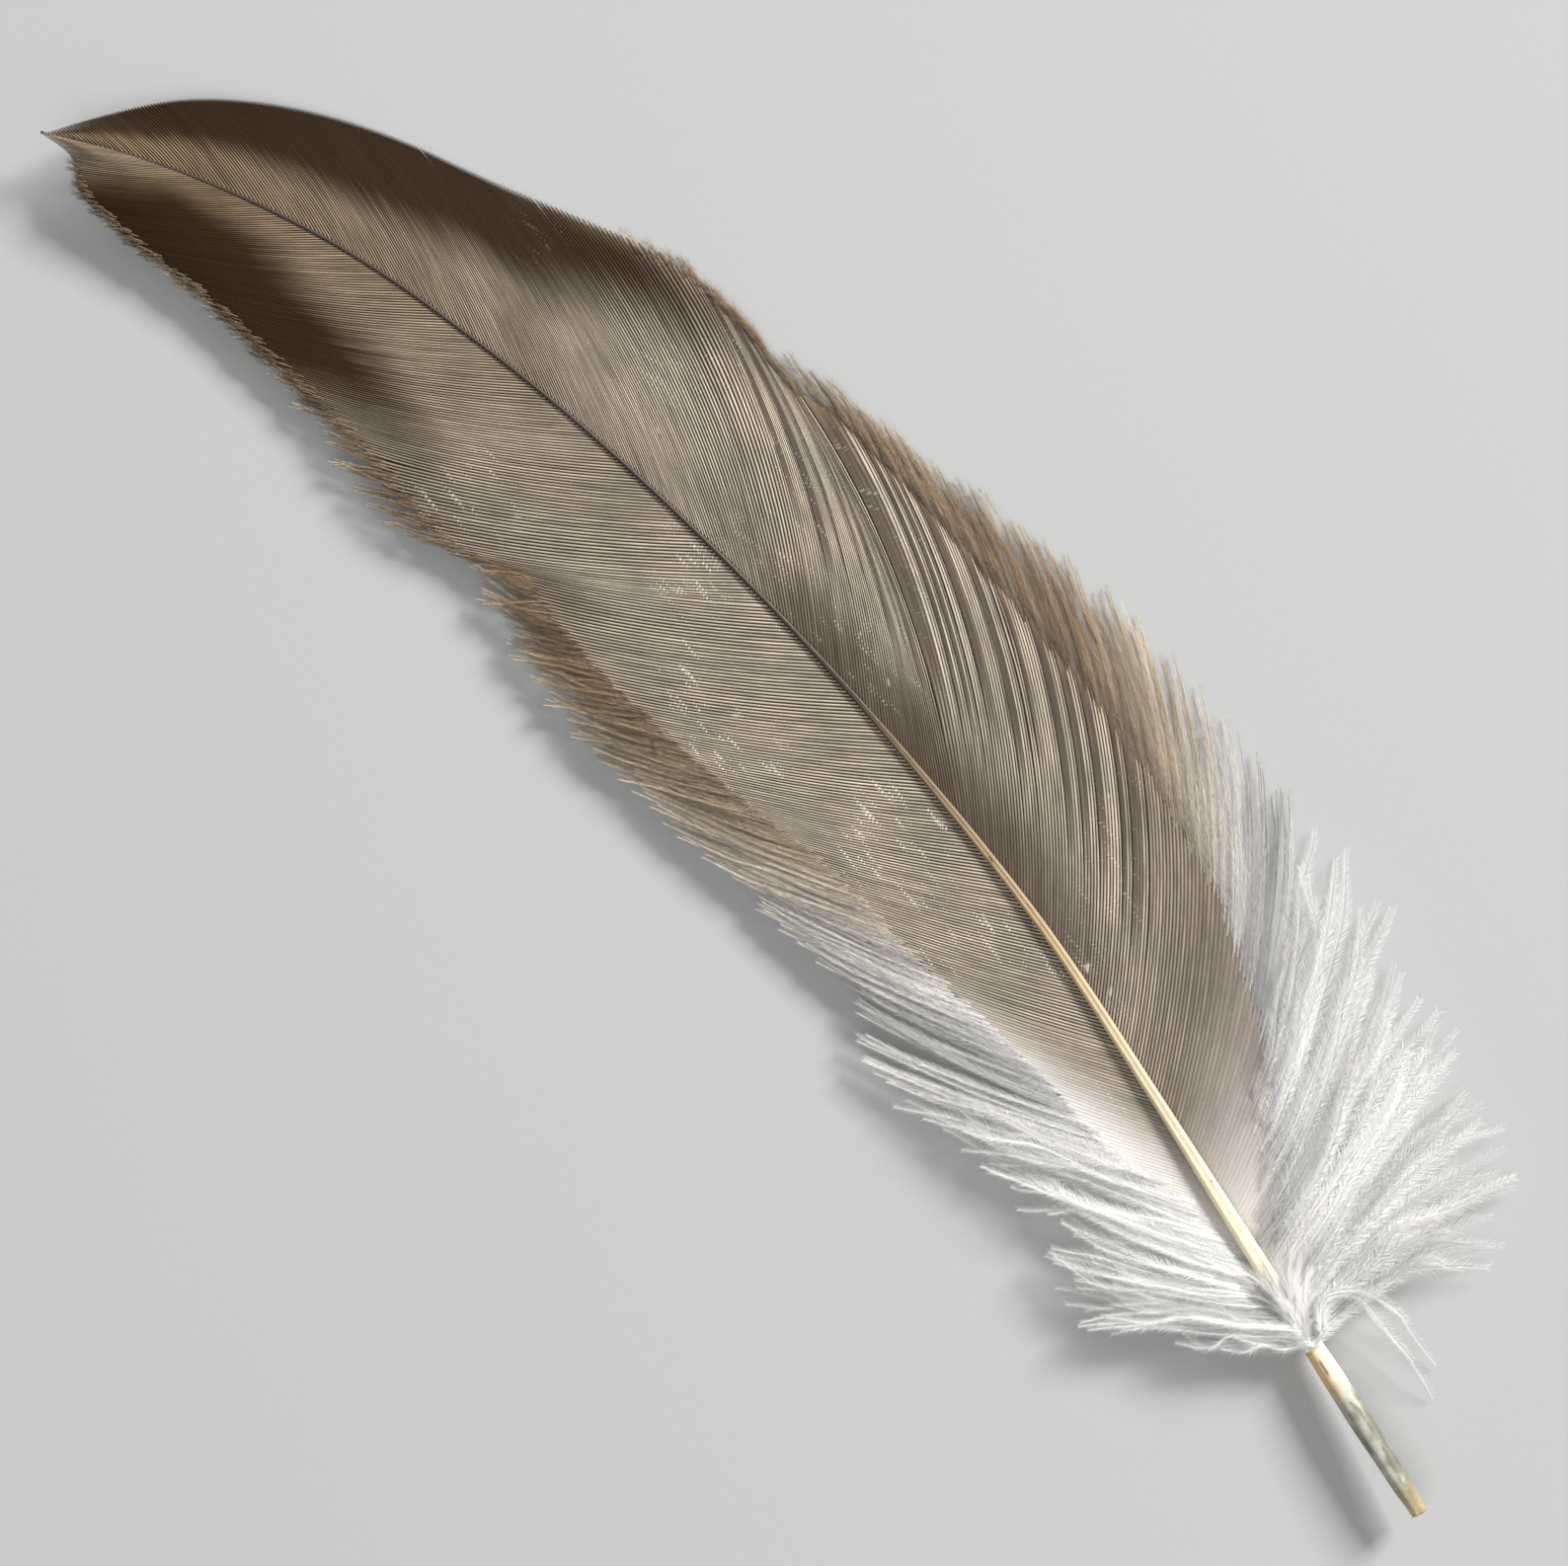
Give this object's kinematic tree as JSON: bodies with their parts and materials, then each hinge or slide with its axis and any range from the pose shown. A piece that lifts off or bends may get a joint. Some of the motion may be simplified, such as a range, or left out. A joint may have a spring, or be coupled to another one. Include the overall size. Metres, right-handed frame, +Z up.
{
  "type": "quill feather",
  "caption": "Whole uncut flight feather of the kind cut into a quill pen, lying underside up, with hollow butt, tapering shaft, two vanes and basal down.",
  "frame": {"origin": "on the surface that the feather lies on, under the middle of its outline", "axes": "+X along the shaft from the blunt end towards the tip, +Y towards the narrow vane, +Z up, out of the feather's underside"},
  "size_m": [0.1976, 0.0528, 0.0059],
  "materials": {
    "calamus_horn": "translucent grey-olive horn with ivory streaks",
    "dry_pulp": "dry papery membrane",
    "rachis_horn": "ivory to golden horn, dark brown in the upper half",
    "pith": "white dry foam",
    "hooked_barbs": "grey-brown ribbed barbs with a silvery sheen",
    "loose_barbs": "tan hairy barb ends",
    "down": "soft off-white down"
  },
  "bodies": {
    "root": {"calamus": "calamus_horn", "pulp_cap_1": "dry_pulp", "pulp_cap_2": "dry_pulp", "pulp_cap_3": "dry_pulp", "pulp_cap_4": "dry_pulp", "pulp_cap_5": "dry_pulp", "rachis_cortex": "rachis_horn", "rachis_pith": "pith", "narrow_vane_lower": "hooked_barbs", "narrow_vane_middle": "hooked_barbs", "narrow_vane_upper": "hooked_barbs", "broad_vane_lower": "hooked_barbs", "broad_vane_middle": "hooked_barbs", "broad_vane_upper": "hooked_barbs", "narrow_fringe_lower": "loose_barbs", "narrow_fringe_middle": "loose_barbs", "narrow_fringe_upper": "loose_barbs", "broad_fringe_lower": "loose_barbs", "narrow_down_1": "down", "narrow_down_2": "down", "narrow_down_3": "down", "broad_down_1": "down", "broad_down_2": "down", "broad_down_3": "down", "broad_down_4": "down", "afterfeather": "down"}
  },
  "joints": []
}
